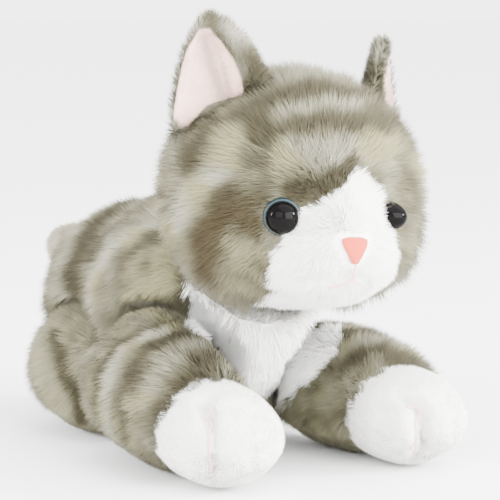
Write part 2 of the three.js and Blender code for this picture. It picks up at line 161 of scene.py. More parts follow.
def soft_body(name, names, voxel, inset, seams=(), cap=3.0, pressure=4.0, seam_depth=1.0, clefts=()):
    """One closed, stuffed cover in place of these CAD nodes.

    It is remeshed, drawn in by the pile's depth, filled by a short cloth simulation that is held at the seams,
    and subdivided. Seams and clefts are sunk at the end.
    """
    bm = bmesh.new()
    for n in names:
        bm.from_mesh(NODES[n].data)
    bmesh.ops.remove_doubles(bm, verts=bm.verts, dist=1e-5)
    me = bpy.data.meshes.new(name)
    bm.to_mesh(me)
    bm.free()
    o = bpy.data.objects.new(name, me)
    bpy.context.scene.collection.objects.link(o)
    m = o.modifiers.new("remesh", "REMESH")
    m.mode, m.voxel_size, m.use_smooth_shade = "VOXEL", voxel / 1000, True
    evaluated(o)
    # the largest shell only
    bm = bmesh.new()
    bm.from_mesh(o.data)
    seen, shells = set(), []
    for v in bm.verts:
        if v in seen:
            continue
        stack, shell = [v], []
        seen.add(v)
        while stack:
            a = stack.pop()
            shell.append(a)
            for e in a.link_edges:
                b = e.other_vert(a)
                if b not in seen:
                    seen.add(b)
                    stack.append(b)
        shells.append(shell)
    shells.sort(key=len)
    for shell in shells[:-1]:
        bmesh.ops.delete(bm, geom=shell, context="VERTS")
    for _ in range(3):
        bmesh.ops.smooth_vert(
            bm, verts=bm.verts, factor=0.5, use_axis_x=True, use_axis_y=True, use_axis_z=True
        )
    bm.to_mesh(o.data)
    bm.free()
    o.data.update()
    start = coords(o.data) - normals(o.data) * inset
    set_coords(o.data, start)
    # distance to the nearest seam, from the two nearest panels
    trees = [tree([n]) for n in seams]
    gap = seam_gap(start, trees)
    pins = o.vertex_groups.new(name="pins")
    held = np.clip(1.1 - gap / voxel, 0, 1) * 0.9
    for i in np.nonzero(held > 0.02)[0]:
        pins.add([int(i)], float(held[i]), "REPLACE")
    c = o.modifiers.new("cloth", "CLOTH")
    s = c.settings
    s.quality, s.mass = 6, 0.25
    s.tension_stiffness = s.compression_stiffness = 18
    s.shear_stiffness, s.bending_stiffness = 8, 1.0
    s.use_pressure, s.uniform_pressure_force = True, pressure
    s.effector_weights.gravity = 0
    s.vertex_group_mass = "pins"
    c.collision_settings.use_collision = False
    c.collision_settings.use_self_collision = False
    scene = bpy.context.scene
    for f in range(1, SIM_FRAMES + 1):
        scene.frame_set(f)
    dg = bpy.context.evaluated_depsgraph_get()
    done = bpy.data.meshes.new_from_object(o.evaluated_get(dg), depsgraph=dg)
    move = coords(done) - start
    o.modifiers.clear()
    o.vertex_groups.clear()
    scene.frame_set(1)
    size = np.linalg.norm(move, axis=1, keepdims=True)
    move *= np.minimum(1, cap / np.maximum(size, 1e-9))
    p = start + move
    p[:, 2] = np.maximum(p[:, 2], 0.8)
    set_coords(o.data, p)
    o.modifiers.new("fine", "SUBSURF").levels = 1
    evaluated(o)
    p = coords(o.data)
    gap = seam_gap(p, trees)
    sunk = seam_depth * np.exp(-((gap / SEAM_WIDTH) ** 2))
    for depth, width, points in clefts:
        sunk += depth * np.exp(-((to_line(p, points) / width) ** 2))
    p -= normals(o.data) * sunk[:, None]
    p[:, 2] = np.maximum(p[:, 2], 0.6)
    set_coords(o.data, p)
    o.data.polygons.foreach_set("use_smooth", np.ones(len(o.data.polygons), bool))
    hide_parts(*names)
    return o


def seam_gap(p, trees):
    """Half the difference between the distances to the two nearest panels."""
    if len(trees) < 2:
        return np.full(len(p), 50.0)
    d = np.sort(np.stack([distances(p, t) for t in trees], 1), axis=1)
    return (d[:, 1] - d[:, 0]) / 2


def buried(p, others, depth):
    """Share of how deep each point lies inside the other skins, from 0 to 1 at that depth."""
    out = np.zeros(len(p))
    for o in others:
        bvh = bvh_of(o)
        lo, hi = coords(o.data).min(0), coords(o.data).max(0)
        for i in np.nonzero(((p > lo) & (p < hi)).all(1))[0]:
            q = Vector(p[i])
            if all(odd(bvh, q, d) for d in (Vector((0.31, 0.22, 0.925)), Vector((-0.52, 0.35, -0.779)))):
                out[i] = max(out[i], min(1.0, bvh.find_nearest(q, 60.0)[3] / depth))
    return out


def odd(bvh, q, d):
    """Whether a line from q crosses the surface an odd number of times."""
    n = 0
    while n < 20:
        hit = bvh.ray_cast(q, d)
        if hit[0] is None:
            break
        n += 1
        q = hit[0] + d * 1e-3
    return n % 2 == 1


# ---------------------------------------------------------------- colours of the pile

RAMP = np.array(
    [srgb(39, 36, 24), srgb(62, 58, 43), srgb(94, 91, 73), srgb(129, 126, 109), srgb(158, 155, 139)]
)
OLIVE, BROWN = srgb(124, 119, 79), srgb(54, 43, 25)
WHITE = srgb(250, 249, 244)
PINK = srgb(226, 190, 176)


def ramp(t):
    x = np.clip(t, 0, 1) * (len(RAMP) - 1)
    i = np.minimum(x.astype(int), len(RAMP) - 2)
    f = (x - i)[:, None]
    return RAMP[i] * (1 - f) + RAMP[i + 1] * f


def paint(p, base, strokes, seed):
    """Tone, olive and brown shares of the tabby pattern: strokes are (tone, half width, strength, points)."""
    q = p + ripple3(p, 16, seed) * 1.3
    t = base + 0.06 * ripple(p, 13, seed + 5) + 0.03 * ripple(p, 5, seed + 6)
    for tone, width, strength, points in strokes:
        w = strength * np.exp(-((to_line(q, points) / (1.12 * width)) ** 4))
        t = t * (1 - w) + tone * w
    return t


HEAD_AT = np.array([1.5, -63.0, 111.0])
TURN, TILT = np.radians(-5), np.radians(3)
HEAD_TURN = np.array(
    [[np.cos(TURN), -np.sin(TURN), 0], [np.sin(TURN), np.cos(TURN), 0], [0, 0, 1]]
) @ np.array([[np.cos(TILT), 0, np.sin(TILT)], [0, 1, 0], [-np.sin(TILT), 0, np.cos(TILT)]])


def in_head(p):
    return (p - HEAD_AT) @ HEAD_TURN


HEAD_STROKES = [
    (
        0.12,
        6.0,
        0.85,
        [(-31, -19, 31), (-19, -21, 37), (-7, -21, 41), (8, -21, 42), (22, -18, 38), (34, -12, 32)],
    ),
    (0.80, 4.5, 0.75, [(-20, -28, 31), (-8, -30, 34), (9, -28, 35), (27, -23, 31)]),
    (
        0.15,
        5.0,
        0.80,
        [(-29, -28, 24), (-15, -33, 27), (0, -35, 29), (20, -28, 31), (36, -18, 27), (42, -12, 20)],
    ),
    (0.82, 6.5, 0.75, [(-23, -35, 17), (-5, -41, 19), (12, -40, 19), (26, -33, 16)]),
    (0.10, 3.8, 0.85, [(-21, -41, 2), (-12, -44, 5), (-3, -44, 9), (5, -43, 13)]),
    (0.20, 4.5, 0.75, [(29, -33, 12), (36, -28, 2), (37, -26, -12), (33, -28, -24)]),
    (0.22, 3.0, 0.70, [(-30, -22, 29), (-29, -32, 19), (-33, -33, 8), (-31, -36, 0)]),
    (0.15, 5.0, 0.80, [(-40, -10, 26), (-45, -9, 18), (-48, -7, 9)]),
    (0.15, 5.0, 0.80, [(42, -6, 26), (46, -7, 14)]),
    (0.90, 4.5, 0.85, [(-38, -23, 19), (-42, -23, 7), (-49, -13, -2), (-48, -5, -14)]),
    (0.85, 4.5, 0.70, [(40, -20, 12), (43, -20, 0), (46, -10, -8)]),
    (0.12, 6.5, 0.80, [(-42, -26, -4), (-43, -22, -12), (-45, -18, -20), (-40, -13, -32)]),
    (0.16, 5.5, 0.65, [(-34, -35, -12), (-37, -32, -4)]),
    (0.62, 3.6, 0.75, [(-37, -30, -23)]),
    (0.15, 6.0, 0.60, [(42, -22, -14), (40, -18, -26)]),
]
FACE = np.array(
    [
        (8, 12.5), (12, 9), (17.5, 4.5), (18.5, -3), (20, -8), (24, -14), (27, -23), (28, -31),
        (20, -36), (17, -60), (-17, -60), (-21, -36), (-26, -30), (-27, -22), (-23.5, -14.5),
        (-18.5, -10), (-16.5, -4), (-9, -1), (-2, 4.5),
    ],
    float,
)


def across(p):
    """Width and height of points as the toy's right front shows them."""
    return np.stack([0.866 * p[:, 0] - 0.5 * p[:, 1], p[:, 2] + 0.055 * p[:, 0] + 0.095 * p[:, 1]], 1)


BIB_OUTLINE = np.array(
    [
        (-4, 75), (-6, 60), (-9.5, 50), (-2, 45), (12, 40), (21, 31), (24, 23), (27, 14), (31, 18),
        (38, 25), (49, 35), (54, 43), (56, 55), (56, 75),
    ],
    float,
)
LINING_OUTLINE = {
    "ear_right": np.array(
        [
            (-3, 166), (-8, 158), (-12, 149), (-14, 140), (-13, 132), (-9, 126), (-6, 131),
            (0, 137), (7, 139.5), (12, 139), (14, 142), (13, 148), (10.5, 154), (6, 161),
            (1, 166.5),
        ],
        float,
    ),
    "ear_left": np.array([(72, 166), (76, 166), (80, 150), (80, 138), (71, 138), (69.5, 150)], float),
}


def inside_outline(q, outline):
    """Signed distance to a polygon in the plane, positive inside."""
    inside = np.zeros(len(q), bool)
    best = np.full(len(q), 1e9)
    n = len(outline)
    for i in range(n):
        a, b = outline[i], outline[(i + 1) % n]
        slope = (b[0] - a[0]) / ((b[1] - a[1]) or 1e-9)
        inside ^= ((a[1] > q[:, 1]) != (b[1] > q[:, 1])) & (q[:, 0] < slope * (q[:, 1] - a[1]) + a[0])
        t = np.clip(((q - a) @ (b - a)) / ((b - a) @ (b - a)), 0, 1)
        best = np.minimum(best, np.linalg.norm(q - a - t[:, None] * (b - a), axis=1))
    return np.where(inside, best, -best)


def face_share(p):
    """1 in the white face, 0 in the grey head."""
    h = in_head(p)
    h = h + ripple3(h, 7, 41) * 0.7
    q = h[:, [0, 2]]
    q = q + unit(q - (1, -8)) * 2.8  # the strands reach outwards from the nose
    return smooth(inside_outline(q, FACE), -1.2, 1.2) * (h[:, 1] < -6 - 0.25 * h[:, 2])


def head_colour(p):
    h = in_head(p)
    t = paint(h, 0.50, HEAD_STROKES, 3)
    over = np.arctan2(h[:, 1] + 6, h[:, 2] + 4) * 46  # arc over the crown towards the nape
    back = smooth(h[:, 1], -12, 2) * smooth(h[:, 2], -30, -5)
    t += back * 0.17 * np.sin(over * 2 * np.pi / 19 + 0.6 * ripple(h, 26, 8))
    crown = np.exp(-(((h[:, 1] + 6) / 10) ** 2)) * smooth(h[:, 2], 30, 44)
    t = t * (1 - 0.6 * crown) + 0.72 * 0.6 * crown
    c = ramp(t)
    olive = 0.75 * smooth(ripple(h, 30, 9) + 0.5 * smooth(-h[:, 0], 20, 40), 0.1, 1.0) * smooth(t, 0.35, 0.8)
    c = c * (1 - olive[:, None]) + OLIVE * olive[:, None]
    brown = 0.55 * smooth(-h[:, 2], -8, 14) * smooth(0.55 - t, 0, 0.35)
    return c * (1 - brown[:, None]) + BROWN * brown[:, None]


BODY_STROKES = [
    (0.80, 5.0, 0.60, [(0, 76, 93), (-30, 70, 83), (-42, 60, 68), (-45, 62, 52)]),
    (
        0.10,
        6.5,
        0.85,
        [
            (0, 58, 99), (-18, 56, 93), (-30, 54, 85), (-39, 48, 74), (-43, 44, 60), (-49, 41, 49),
            (-55, 38, 39),
        ],
    ),
    (0.62, 2.5, 0.50, [(0, 40, 100), (-25, 42, 91), (-38, 42, 76), (-43, 36, 60)]),
    (0.12, 4.2, 0.80, [(0, 20, 103), (-18, 22, 99), (-27, 27, 93), (-33, 36, 83), (-36, 38, 77)]),
    (
        0.95,
        5.2,
        0.85,
        [
            (0, -8, 103), (-31, -5, 95), (-38, 3, 87), (-41, 16, 78), (-42, 29, 67), (-45, 28, 54),
            (-50, 24, 42), (-51, 21, 30), (-50, 20, 14),
        ],
    ),
    (0.25, 3.6, 0.75, [(-32, -14, 91), (-38, -8, 85), (-43, -2, 77), (-46, -8, 66)]),
    (0.92, 7.0, 0.80, [(-35, -24, 82), (-40, -26, 71), (-38, -12, 62), (-44, -20, 58)]),
    (0.20, 4.0, 0.70, [(-33, -35, 75), (-27, -28, 64)]),
    (0.14, 6.0, 0.70, [(0, 92, 82), (-24, 86, 72), (-38, 80, 56), (-42, 74, 38)]),
    (0.75, 5.0, 0.60, [(0, 103, 66), (-24, 98, 56), (-38, 90, 40)]),
]


def torso_colour(p):
    q = p.copy()
    q[:, 0] = -np.abs(q[:, 0] + 1.5 * ripple(p, 30, 77))
    t = paint(q, 0.52, BODY_STROKES, 21)
    c = ramp(t)
    olive = 0.7 * smooth(ripple(p, 34, 23) + 0.9 * smooth(-p[:, 1], 5, 25), 0.2, 1.1) * smooth(t, 0.35, 0.8)
    return c * (1 - olive[:, None]) + OLIVE * olive[:, None]


HIND_STROKES = [
    (0.80, 8.0, 0.70, [(-54, 55, 38), (-57, 43, 24), (-54, 31, 14)]),
    (0.10, 3.4, 0.85, [(-54, 41, 42), (-55, 33, 35), (-54, 26, 24), (-50, 24, 9)]),
    (0.90, 4.0, 0.80, [(-46, 31, 54), (-50, 24, 42), (-51, 20, 30), (-50, 17, 14)]),
    (0.15, 5.0, 0.70, [(-50, 66, 46), (-54, 68, 30), (-50, 70, 12)]),
]


def hind_colour(p):
    q = p.copy()
    q[:, 0] = -np.abs(q[:, 0])
    t = paint(q, 0.50, HIND_STROKES, 31)
    return ramp(t) * (1 - 0.35 * smooth(t, 0.4, 0.8)[:, None]) + OLIVE * 0.35 * smooth(t, 0.4, 0.8)[:, None]


ARM_STROKES = [
    (0.15, 3.4, 0.85, [(-45, -36, 56), (-58, -35, 50), (-62, -31, 44), (-65, -29, 36), (-65, -28, 24)]),
    (
        0.93,
        3.8,
        0.85,
        [(-45, -43, 56), (-55, -40, 51), (-61, -38, 45), (-65, -37, 37), (-66, -40, 24), (-64, -40, 8)],
    ),
    (
        0.14,
        4.2,
        0.80,
        [(-38, -50, 54), (-49, -49, 52), (-57, -49, 47), (-62, -50, 41), (-66, -55, 34), (-66, -56, 18)],
    ),
    (0.80, 4.5, 0.70, [(-30, -54, 48), (-44, -58, 50), (-56, -63, 46), (-62, -64, 39), (-66, -60, 28)]),
    (
        0.16,
        5.0,
        0.75,
        [(-30, -64, 44), (-40, -66, 49), (-47, -72, 46), (-53, -76, 42), (-60, -75, 35), (-65, -72, 27)],
    ),
    (0.80, 3.5, 0.55, [(-64, -66, 24), (-66, -60, 20)]),
]


def arm_colour(p):
    q = p.copy()
    left = q[:, 0] > 0
    q[:, 0] = -np.abs(q[:, 0])
    q[left] += (-1.0, 0.0, 4.0)
    q[:, 0] -= 3.0  # the pile stands out past the sleeve
    t = paint(q, 0.50, ARM_STROKES, 51)
    c = ramp(t)
    olive = 0.6 * smooth(ripple(p, 26, 53), -0.2, 0.9) * smooth(t, 0.35, 0.8)
    c = c * (1 - olive[:, None]) + OLIVE * olive[:, None]
    body = smooth(p[:, 2], 55, 61)[:, None]
    return c * (1 - body) + torso_colour(p) * body


def tail_colour(p):
    t = 0.86 + 0.08 * np.sin(p[:, 1] * 2 * np.pi / 17) + 0.06 * ripple(p, 9, 61)
    return ramp(t) * np.array([1.02, 0.98, 0.95])


def ear_colour(p):
    h = in_head(p)
    t = 0.55 + 0.18 * ripple(h, 17, 71) + 0.2 * smooth(h[:, 2], 40, 66)
    return ramp(t)


def white_colour(p):
    return np.repeat(WHITE[None], len(p), 0) * (1 + 0.02 * ripple(p, 9, 81))[:, None]


def pink_colour(p):
    h = in_head(p)
    q = np.pad(across(p), ((0, 0), (0, 1)))
    # painted shade along the fold of each ear's lining, darkest on the fold line and only on the upper ear
    fold = np.minimum(
        to_line(q, [(-1, 163, 0), (2, 152, 0), (6, 141, 0)]), to_line(q, [(76, 158, 0), (75, 142, 0)])
    )
    shade = 1 - 0.5 * np.exp(-((fold / 3.2) ** 2)) * smooth(h[:, 2], 24, 36)
    return PINK * (shade * (1 + 0.03 * ripple(p, 12, 83)))[:, None]


# ---------------------------------------------------------------- materials


def principled(name):
    m = bpy.data.materials.new(name)
    m.use_nodes = True
    t = m.node_tree
    return m, t, t.nodes["Principled BSDF"]


def pile_material(name, rough=0.75, sheen=0.25, streak=0.12, scale=900.0, sheen_tint=(1, 1, 1), gloss=0.2):
    """Pile: the stored tint with fine streaks and a soft sheen."""
    m, t, b = principled(name)
    n = t.nodes
    a = n.new("ShaderNodeAttribute")
    a.attribute_name = "tint"
    where = n.new("ShaderNodeTexCoord")
    noise = n.new("ShaderNodeTexNoise")
    noise.inputs["Scale"].default_value = scale
    noise.inputs["Detail"].default_value = 3
    broad = n.new("ShaderNodeTexNoise")
    broad.inputs["Scale"].default_value = 120.0
    t.links.new(where.outputs["Object"], noise.inputs["Vector"])
    t.links.new(where.outputs["Object"], broad.inputs["Vector"])
    add = n.new("ShaderNodeMath")
    add.operation = "ADD"
    t.links.new(noise.outputs["Fac"], add.inputs[0])
    t.links.new(broad.outputs["Fac"], add.inputs[1])
    span = n.new("ShaderNodeMapRange")
    span.inputs["From Min"].default_value, span.inputs["From Max"].default_value = 0.6, 1.4
    span.inputs["To Min"].default_value, span.inputs["To Max"].default_value = 1 - streak, 1 + streak
    t.links.new(add.outputs[0], span.inputs["Value"])
    mul = n.new("ShaderNodeVectorMath")
    mul.operation = "SCALE"
    t.links.new(a.outputs["Vector"], mul.inputs[0])
    t.links.new(span.outputs["Result"], mul.inputs["Scale"])
    t.links.new(mul.outputs[0], b.inputs["Base Color"])
    b.inputs["Roughness"].default_value = rough
    b.inputs["Specular IOR Level"].default_value = gloss
    b.inputs["Sheen Weight"].default_value = sheen
    b.inputs["Sheen Roughness"].default_value = 0.5
    b.inputs["Sheen Tint"].default_value = (*sheen_tint, 1)
    return m


TABBY = pile_material("tabby_pile", sheen=0.07, gloss=0.1, sheen_tint=(1, 0.96, 0.86))
SNOW = pile_material("white_pile", streak=0.03, sheen=0.2)
LINING = pile_material("lining_velvet", streak=0.05, sheen=0.3, sheen_tint=(1, 0.93, 0.9))

# ---------------------------------------------------------------- pile


def surface(o):
    me = o.data
    me.calc_loop_triangles()
    tris = np.empty(len(me.loop_triangles) * 3, np.int32)
    me.loop_triangles.foreach_get("vertices", tris)
    return coords(me), normals(me), tris.reshape(-1, 3)


def pile(
    name, o, share, density, length, colour, comb, body, material, slot,
    width=0.3, lean=0.7, droop=0.25, joints=2, tuft=0.30, stray=0.12, seed=1,
    dark=0.62, light=1.08, depth=2.2,
):
    """Strands on cover o.

    share (per vertex, 0 to 1) thins them and density is per mm2. length and comb, the direction that they lean
    in, are functions of roots and normals, and colour is a function of the points under the tips. dark and
    light scale the colour at the root and at the tip: painted shade deep in the pile and painted light on the
    tips.
    """
    r = np.random.default_rng(seed)
    v, nv, f = surface(o)
    tri = v[f]
    area = np.linalg.norm(np.cross(tri[:, 1] - tri[:, 0], tri[:, 2] - tri[:, 0]), axis=1) / 2
    area *= share[f].max(1)
    total = area.sum()
    n = int(total * density)
    if n < 10:
        return None
    pick = r.choice(len(f), n, p=area / total)
    u = r.random((n, 2))
    u = np.where(u.sum(1, keepdims=True) > 1, 1 - u, u)
    w = np.concatenate([1 - u.sum(1, keepdims=True), u], 1)[:, :, None]
    root = (v[f[pick]] * w).sum(1)
    no = unit((nv[f[pick]] * w).sum(1))
    s = (share[f[pick]] * w[:, :, 0]).sum(1)
    big = share[f[pick]].max(1)
    ok = r.random(n) < s / np.maximum(big, 1e-6)
    root, no, s = root[ok], no[ok], s[ok]
    n = len(root)
    size = length(root, no) * r.uniform(0.72, 1.12, n) * smooth(s, -0.3, 0.6)
    flow = comb(root, no)
    flow = flow - no * (flow * no).sum(1, keepdims=True)
    waves = ripple3(root, 6.5, seed * 7) * tuft + ripple3(root, 19, seed * 7 + 3) * tuft * 0.6
    lay = flow * lean + waves + r.normal(size=(n, 3)) * stray
    lay = lay - no * (lay * no).sum(1, keepdims=True)
    go = unit(no + lay)
    bend = lay * droop + np.array([0, 0, -0.10]) + r.normal(size=(n, 3)) * 0.05
    side = np.cross(go, no + r.normal(size=(n, 3)) * 0.25)
    side = unit(side)
    turn = r.uniform(-0.7, 0.7, n)[:, None]
    side = unit(side * np.cos(turn) + np.cross(go, side) * np.sin(turn))
    flip = (np.cross(side, go) * no).sum(1) < 0
    side[flip] *= -1
    wide = width * r.uniform(0.75, 1.25, n)[:, None]
    t_list = [0.0, 1.0] if joints == 1 else [0.0, 0.5, 1.0]
    root = root - no * 0.3
    verts, tint, shade = [], [], []
    out = (go + bend) * size[:, None] * 0.95
    out = out - no * (out * no).sum(1, keepdims=True)
    col = colour(root + out + no * depth)
    col = col * r.uniform(0.91, 1.09, (n, 1)) * (1 + r.normal(size=(n, 3)) * 0.012)
    face_no = unit(np.cross(side, go))
    out_no = unit(no * 0.8 + face_no * 0.2 + go * 0.15)
    for t in t_list:
        c = root + size[:, None] * (go * t + bend * t * t)
        # each strand's colour is scaled from dark at the root to light at the tip: painted shade deep in the
        # pile and painted light on the tips
        gain = dark + (light - dark) * min(1.0, t * 1.35)
        if t < 1:
            h = side * wide * (0.5 if t == 0 else 0.42)
            verts += [c - h, c + h]
            tint += [col * gain] * 2
            shade += [out_no] * 2
        else:
            verts.append(c)
            tint.append(col * gain)
            shade.append(out_no)
    m = len(verts)
    p = np.stack(verts, 1).reshape(-1, 3)
    at = np.arange(n)[:, None] * m
    one = [(0, 1, 2)] if joints == 1 else [(0, 1, 3), (0, 3, 2), (2, 3, 4)]
    faces = np.concatenate([at + np.array(t) for t in one], 1).reshape(-1, 3)
    p[:, 2] = np.maximum(p[:, 2], 0.05)
    fur = mesh_of(name, p, faces)
    me = fur.data
    store(me, "tint", np.clip(np.stack(tint, 1).reshape(-1, 3), 0, 0.98))
    # each strand has its own cell in the OFBake UV layer, with its neighbours next to it
    cols = int(np.ceil(np.sqrt(n)))
    rank = np.empty(n, int)
    rank[np.argsort(root[:, 2])] = np.arange(n)
    band = rank // cols
    mid = root.mean(0)
    turn = np.arctan2(root[:, 0] - mid[0], -(root[:, 1] - mid[1]))
    order = np.lexsort((turn, band))
    cell = np.empty(n, int)
    cell[order] = np.arange(n)
    cx, cy = cell % cols, cell // cols
    middle = [] if joints == 1 else [(0.2, 0.5), (0.8, 0.5)]
    local = [(0.2, 0.15), (0.8, 0.15), *middle, (0.5, 0.85)]
    uv = np.stack([np.stack([(cx + a) / cols, (cy + b) / cols], 1) for a, b in local], 1).reshape(-1, 2)
    layer = me.uv_layers.new(name="OFBake")
    layer.data.foreach_set("uv", uv[faces.ravel()].astype(np.float32).ravel())
    me.normals_split_custom_set_from_vertices(np.stack(shade, 1).reshape(-1, 3).astype(np.float32))
    me.materials.append(material)
    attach(fur, body)
    return fur


def even(x):
    return lambda p, no: np.full(len(p), float(x))


# ---------------------------------------------------------------- skins of each body

PARTS = {
    "torso": (
        ["torso_skin_right", "torso_skin_left", "belly_panel", "chest_bib"],
        ["torso_stuffing", "pellet_pouch"],
        4.2,
        3.2,
    ),
    "head": (
        ["head_skin_right", "head_skin_left", "head_gusset", "face_panel", "chin_panel"],
        ["head_stuffing", "muzzle_stuffing"],
        3.2,
        2.6,
    ),
    "front_leg_right": (["front_sleeve_right", "front_paw_right"], ["front_stuffing_right"], 2.8, 1.2),
    "front_leg_left": (["front_sleeve_left", "front_paw_left"], ["front_stuffing_left"], 2.8, 1.2),
    "hind_leg_right": (["hind_sleeve_right", "hind_paw_right"], ["hind_stuffing_right"], 3.2, 2.2),
    "hind_leg_left": (["hind_sleeve_left", "hind_paw_left"], ["hind_stuffing_left"], 3.2, 2.2),
    "tail": (["tail_skin"], ["tail_stuffing"], 2.6, 2.2),
    "ear_right": (["ear_back_right", "ear_lining_right"], [], 1.3, 0.5),
    "ear_left": (["ear_back_left", "ear_lining_left"], [], 1.3, 0.5),
    "neck": (["neck_collar"], [], 1.6, 1.5),
    "shoulder_right": (["shoulder_knob_right"], [], 2.4, 3.4),
    "shoulder_left": (["shoulder_knob_left"], [], 2.4, 3.4),
}
CLEFTS = {
    "ear_right": [
        (
            1.3,
            2.6,
            [
                HEAD_AT + HEAD_TURN @ np.array(v, float)
                for v in ((-37, 0, 57), (-33, -1, 44), (-29, -1, 32))
            ],
        )
    ],
    "ear_left": [
        (
            1.0,
            2.4,
            [HEAD_AT + HEAD_TURN @ np.array(v, float) for v in ((37, 1, 53), (35, 0, 42), (33, 0, 32))],
        )
    ],
    "front_leg_right": [
        (
            6.0,
            3.4,
            [
                (-54, -93, 36), (-56.5, -100, 31.5), (-59, -106, 26), (-59, -107, 18),
                (-57, -104, 10), (-53, -99, 3),
            ],
        ),
        (5.0, 5.0, [(-56, -104, 6), (-53, -100, 1)]),
        (1.4, 2.2, [(-42, -107, 30), (-43, -112, 23), (-42, -109, 12)]),
        (1.6, 2.2, [(-55, -99, 33), (-45, -102, 34), (-38, -104, 32), (-33, -106, 29), (-28, -107, 21)]),
    ],
    "front_leg_left": [
        (
            6.0,
            3.4,
            [(30, -99, 33), (34, -104, 29.5), (35, -107, 25), (35, -108, 18), (37, -105, 9), (39, -101, 3)],
        ),
        (4.5, 5.0, [(38, -105, 6), (39, -101, 1)]),
        (1.2, 2.2, [(49, -104, 30), (50, -109, 22), (50, -108, 12)]),
    ],
}
SKIN = {}
for body, (panels, filling, voxel, inset) in PARTS.items():
    if body.startswith(("ear", "neck", "shoulder")):  # thin pieces swell less
        kind = dict(cap=1.0, pressure=1.5, seam_depth=0.3)
    else:
        kind = dict(cap=3.0, pressure=4.0, seam_depth=0.6 if body == "head" else 1.2)
    cleft = CLEFTS.get(body, ())
    SKIN[body] = soft_body(
        body + "_cover", panels + filling, voxel, inset, seams=panels, clefts=cleft, **kind
    )

# the muzzle is filled out again to meet the nose and the mouth
p = coords(SKIN["head"].data)
near_nose = distances(p, tree(["nose", "mouth_stitch"]), 40.0)
shell = tree(PARTS["head"][0])
pull = np.zeros_like(p)
for i in np.nonzero(near_nose < 34)[0]:
    at, _, _, d = shell.find_nearest(p[i])
    want = 0.6 + 2.0 * smooth(near_nose[i], 3, 12)
    pull[i] = (np.array(at) - p[i]) * max(0.0, 1 - want / max(d, 1e-6)) * (1 - smooth(near_nose[i], 20, 34))
set_coords(SKIN["head"].data, p + pull)
bm = bmesh.new()
bm.from_mesh(SKIN["head"].data)
bm.verts.ensure_lookup_table()
for _ in range(3):
    some = [bm.verts[i] for i in np.nonzero(near_nose < 30)[0]]
    bmesh.ops.smooth_vert(bm, verts=some, factor=0.5, use_axis_x=True, use_axis_y=True, use_axis_z=True)
bm.to_mesh(SKIN["head"].data)
bm.free()

# white, lining and tabby shares of each skin, from the nearest panel
WHITE_PANELS = {"torso": ["chest_bib"]}
for side in ("right", "left"):
    for limb, pale in (("front_leg_", "front_paw_"), ("hind_leg_", "hind_paw_"), ("ear_", "ear_lining_")):
        WHITE_PANELS[limb + side] = [pale + side]
POINTS, SHARE, HIDDEN = {}, {}, {}
for body, o in SKIN.items():
    p = coords(o.data)
    POINTS[body] = p
    if body == "head":
        SHARE[body] = face_share(p)
    elif body in WHITE_PANELS:
        pale = WHITE_PANELS[body]
        rest = [n for n in PARTS[body][0] if n not in pale]
        a, b = distances(p, tree(pale)), distances(p, tree(rest))
        if body.startswith("ear"):
            SHARE[body] = smooth(b - a, -0.5, 0.5) * smooth(
                inside_outline(across(p), LINING_OUTLINE[body]), -0.6, 0.6
            )
        else:
            SHARE[body] = smooth((b - a) / 2 + 0.5 * ripple(p, 6, 13), -0.9, 0.9)
    else:
        SHARE[body] = np.zeros(len(p))
# the bib's white runs onto the tops of the front legs, where the chest bulges over them
BIB = {}


def bib(p, back):
    """White chest: inside its outline as seen from the right front, and in front of y = back.

    On the cat's left that limit moves forwards.
    """
    inside = smooth(inside_outline(across(p + ripple3(p, 8, 15) * 0.8), BIB_OUTLINE), -1.2, 1.2)
    return inside * smooth(back - 0.5 * np.maximum(0, p[:, 0] - 10) - p[:, 1], 0, 5)


for side in ("right", "left"):
    b = "front_leg_" + side
    BIB[b] = bib(POINTS[b], -22) * (1 - SHARE[b])
    SHARE["shoulder_" + side] = bib(POINTS["shoulder_" + side], -20)
p = POINTS["torso"]
middle_front = smooth(27 - np.abs(p[:, 0] + 2), -2, 2) * smooth(-30 - p[:, 1], 0, 4) * smooth(p[:, 2], 14, 20)
SHARE["torso"] = np.maximum(bib(p, -14), middle_front)
SHARE["neck"] = smooth(-POINTS["neck"][:, 1], 20, 26)
NEAR = {
    "torso": ["head", "front_leg_right", "front_leg_left", "hind_leg_right", "hind_leg_left", "tail"],
    "head": ["torso"],
    "front_leg_right": ["torso"],
    "front_leg_left": ["torso"],
    "hind_leg_right": ["torso"],
    "hind_leg_left": ["torso"],
    "tail": ["torso"],
    "ear_right": ["head"],
    "ear_left": ["head"],
    "shoulder_right": ["torso", "front_leg_right"],
    "shoulder_left": ["torso", "front_leg_left"],
}
for body, others in NEAR.items():
    HIDDEN[body] = 1 - smooth(buried(POINTS[body], [SKIN[b] for b in others], 6.0), 0.35, 1.0)

COLOUR = {"torso": torso_colour, "head": head_colour, "tail": tail_colour}
for side in ("right", "left"):
    COLOUR["front_leg_" + side] = arm_colour
    COLOUR["hind_leg_" + side] = hind_colour
    COLOUR["ear_" + side] = ear_colour
for body, o in SKIN.items():
    p, s = POINTS[body], np.maximum(SHARE[body], BIB.get(body, SHARE[body]))[:, None]
    # the cover under the pile is painted darker than the pile (0.62 of the tabby, 0.93 of the white and pink):
    # painted shade at the foot of the pile
    base = COLOUR.get(body, torso_colour)(p) * 0.62
    pale = (pink_colour(p) if body.startswith("ear") else white_colour(p)) * 0.93
    store(o.data, "tint", base * (1 - s) + pale * s)
    o.data.materials.clear()
    o.data.materials.append(TABBY)
    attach(o, body)

# ---------------------------------------------------------------- eyes, nose, threads


def middle(node):
    """Area-weighted centre of a CAD node's surface, in mm."""
    me = NODES[node].data
    p = coords(me)
    me.calc_loop_triangles()
    t = np.empty(len(me.loop_triangles) * 3, np.int32)
    me.loop_triangles.foreach_get("vertices", t)
    q = p[t.reshape(-1, 3)]
    w = np.linalg.norm(np.cross(q[:, 1] - q[:, 0], q[:, 2] - q[:, 0]), axis=1)
    return (q.mean(1) * w[:, None]).sum(0) / w.sum()


